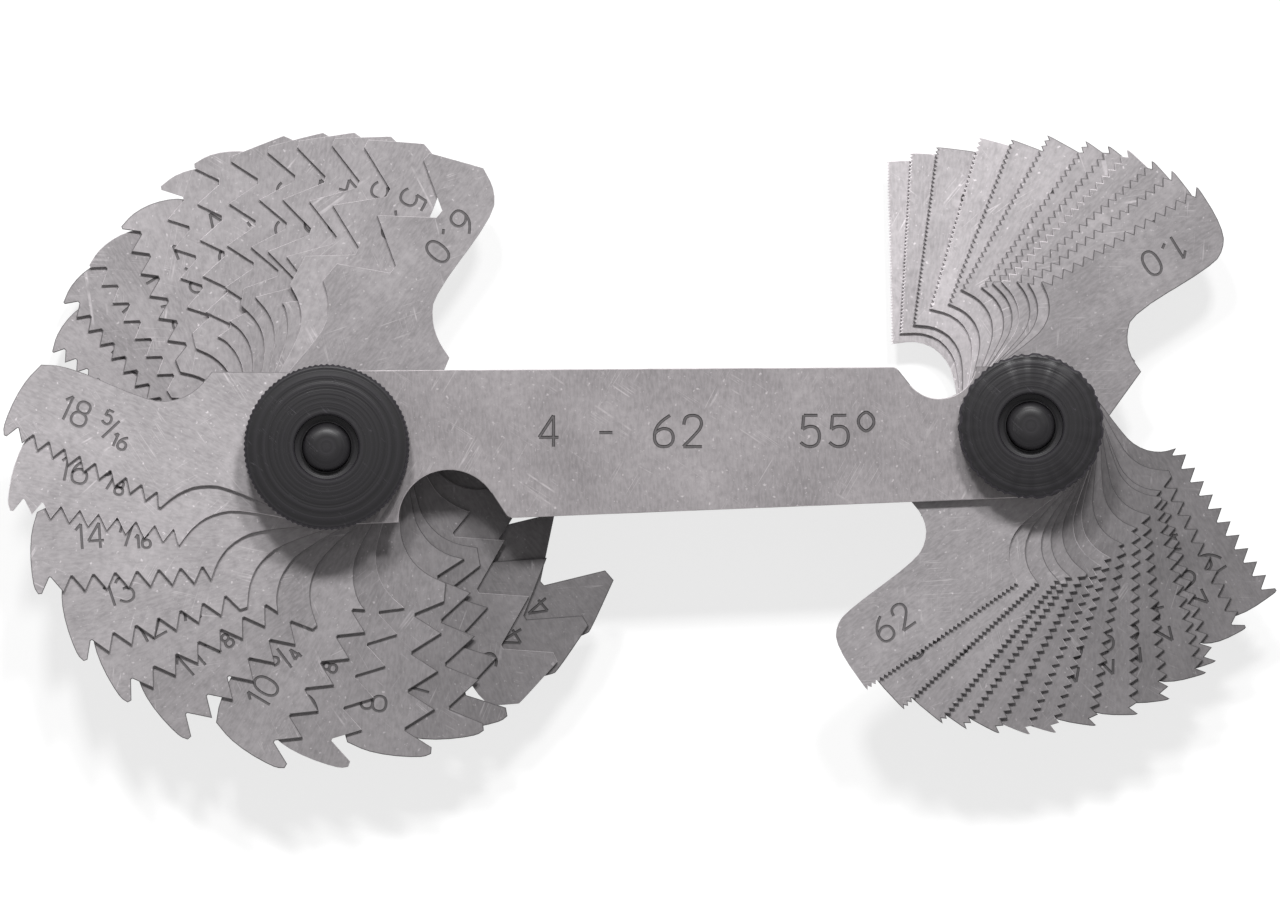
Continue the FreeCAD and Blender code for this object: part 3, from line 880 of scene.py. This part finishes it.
class GAUGE_OT_screws(bpy.types.Operator):
    """Makes the two pivot screws"""
    bl_idname = "gauge.screws"
    bl_label = "Pivot screws"

    def execute(self, context):
        settings = context.scene.gauge.nuts
        for side in ("left", "right"):
            node = side + "_pivot_screw"
            low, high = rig.box(node)
            head = (high[0] - low[0]) / 2
            shank = 2.0 * MM
            bm = bmesh.new()
            profile = [(0, 0), (head - 0.45 * MM, 0), (head - 0.12 * MM, 0.12 * MM), (head, 0.4 * MM),
                       (head, 1.5 * MM), (head - 0.1 * MM, 1.6 * MM), (shank, 1.6 * MM),
                       (shank, high[2] - 0.45 * MM), (shank - 0.12 * MM, high[2] - 0.2 * MM),
                       (shank - 0.45 * MM, high[2] - 0.02 * MM), (shank - 1.1 * MM, high[2]), (0, high[2])]
            points = [bm.verts.new((x, 0, z)) for x, z in profile]
            edges = [bm.edges.new(pair) for pair in zip(points, points[1:])]
            bmesh.ops.spin(bm, geom=points + edges, cent=(0, 0, 0), axis=(0, 0, 1), steps=48,
                           angle=2 * math.pi, use_merge=True)
            bmesh.ops.remove_doubles(bm, verts=bm.verts, dist=WELD)
            bmesh.ops.recalc_face_normals(bm, faces=bm.faces)
            for vertex in bm.verts:
                if vertex.co.z > high[2] - 0.3 * MM:
                    angle = math.atan2(vertex.co.y, vertex.co.x) + (side == "left")
                    vertex.co.xy *= 1 - 0.03 * (1 + math.sin(3 * angle)) - 0.03 * abs(math.sin(3.5 * angle))
            bmesh.ops.transform(bm, matrix=Matrix.Translation((pivot_of(side), 0, 0)), verts=bm.verts)
            mesh = as_mesh(bm, node + "_turned")
            finish = black_material(node + "_black", settings.black, (pivot_of(side), 0, 0), 0.3, 0.8)
            finish_piece(node + "_turned", mesh, "holder", [node], "black_oxide", finish)
        return {"FINISHED"}


# ---- Stage -----------------------------------------------------------------------------------------------
def flat_white(name, colour):
    """Pale surface that the camera and reflections see as plain white, and that still takes shadows."""
    material, tree, shader = new_material(name)
    shader.inputs["Base Color"].default_value = colour
    shader.inputs["Roughness"].default_value = 0.9
    shader.inputs["Specular IOR Level"].default_value = 0.1
    path = tree.nodes.new("ShaderNodeLightPath")
    seen = maths(tree, "MINIMUM", 1.0, maths(tree, "ADD", path.outputs["Is Camera Ray"], maths(
        tree, "ADD", path.outputs["Is Glossy Ray"], path.outputs["Is Transmission Ray"])))
    tree.links.new(maths(tree, "MULTIPLY", seen, 0.76), shader.inputs["Emission Strength"])
    shader.inputs["Emission Color"].default_value = (1, 1, 1, 1)
    return material


def lamp(name, place, aim, size, power):
    """Square soft lamp aimed at a point."""
    light = bpy.data.lights.new(name, "AREA")
    light.shape = "SQUARE"
    light.size = size
    light.energy = power
    holder = bpy.data.objects.new(name, light)
    holder.location = place
    holder.rotation_euler = (Vector(aim) - Vector(place)).to_track_quat("-Z", "Y").to_euler()
    bpy.context.scene.collection.objects.link(holder)


class GAUGE_OT_stage(bpy.types.Operator):
    """Sets up the floor, lamps, daylight and camera"""
    bl_idname = "gauge.stage"
    bl_label = "Stage"

    def execute(self, context):
        scene = context.scene
        settings = scene.gauge.stage
        bm = bmesh.new()
        bmesh.ops.create_grid(bm, x_segments=1, y_segments=1, size=3.0)
        mesh = as_mesh(bm, "studio_floor")
        mesh.materials.append(flat_white("pale_floor", (0.36, 0.36, 0.36, 1)))
        floor = bpy.data.objects.new("studio_floor", mesh)
        floor.location.z = CAD_BOX[0][2] - 0.02 * MM
        scene.collection.objects.link(floor)
        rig.stage(floor)

        middle = (26 * MM, 0, 10 * MM)
        lamp("left_lamp", (-0.06, 0.44, 0.70), middle, 0.09, settings.lamp_power)
        lamp("right_lamp", (0.16, 0.44, 0.70), middle, 0.09, settings.lamp_power)

        world = bpy.data.worlds.new("studio_daylight")
        world.use_nodes = True
        tree = world.node_tree
        background = tree.nodes["Background"]
        background.inputs["Color"].default_value = (1.0, 1.0, 1.0, 1.0)
        path = tree.nodes.new("ShaderNodeLightPath")
        seen = maths(tree, "MAXIMUM", path.outputs["Is Camera Ray"], maths(
            tree, "MAXIMUM", path.outputs["Is Glossy Ray"], path.outputs["Is Transmission Ray"]))
        link(tree, spread(tree, seen, 0.0, 1.0, settings.daylight, 0.95), background.inputs["Strength"])
        scene.world = world

        camera = bpy.data.cameras.new("camera")
        camera.sensor_width = 36.0
        camera.lens = 36.0 * settings.distance / settings.view_width
        camera.clip_end = 20.0
        eye = bpy.data.objects.new("camera", camera)
        eye.location = (25.96 * MM, -1.02 * MM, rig.box("front_plate")[1][2] + settings.distance)
        eye.rotation_euler = (0, 0, settings.roll)
        scene.collection.objects.link(eye)
        scene.camera = eye
        scene.view_settings.view_transform = "Standard"
        return {"FINISHED"}


class GAUGE_PT_panel(bpy.types.Panel):
    bl_idname = "GAUGE_PT_panel"
    bl_label = "Thread Pitch Gauge"
    bl_space_type = "VIEW_3D"
    bl_region_type = "UI"
    bl_category = "Pitch Gauge"

    def draw(self, context):
        settings = context.scene.gauge
        for group, operator in ((settings.stage, GAUGE_OT_stage), (settings.blades, GAUGE_OT_blades),
                                (settings.holder, GAUGE_OT_holder), (settings.nuts, GAUGE_OT_nuts),
                                (None, GAUGE_OT_screws)):
            box = self.layout.box()
            box.operator(operator.bl_idname)
            for name in group.bl_rna.properties.keys() if group else ():
                if name not in ("rna_type", "name"):
                    box.prop(group, name)


CLASSES = (GAUGE_PG_blades, GAUGE_PG_holder, GAUGE_PG_nuts, GAUGE_PG_stage, GAUGE_PG_settings,
           GAUGE_OT_stage, GAUGE_OT_blades, GAUGE_OT_holder, GAUGE_OT_nuts, GAUGE_OT_screws,
           GAUGE_PT_panel)


def register():
    for kind in CLASSES:
        bpy.utils.register_class(kind)
    bpy.types.Scene.gauge = PointerProperty(type=GAUGE_PG_settings)


def unregister():
    del bpy.types.Scene.gauge
    for kind in reversed(CLASSES):
        bpy.utils.unregister_class(kind)


def main():
    register()
    bpy.ops.gauge.stage()
    bpy.ops.gauge.holder()
    bpy.ops.gauge.blades()
    bpy.ops.gauge.nuts()
    bpy.ops.gauge.screws()
    sizes = {"cad_box": [list(corner) for corner in CAD_BOX],
             "visual_box": [list(corner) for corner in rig.bounds()]}
    with open("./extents.json", "w") as out:
        json.dump(sizes, out)


if __name__ == "__main__":
    main()
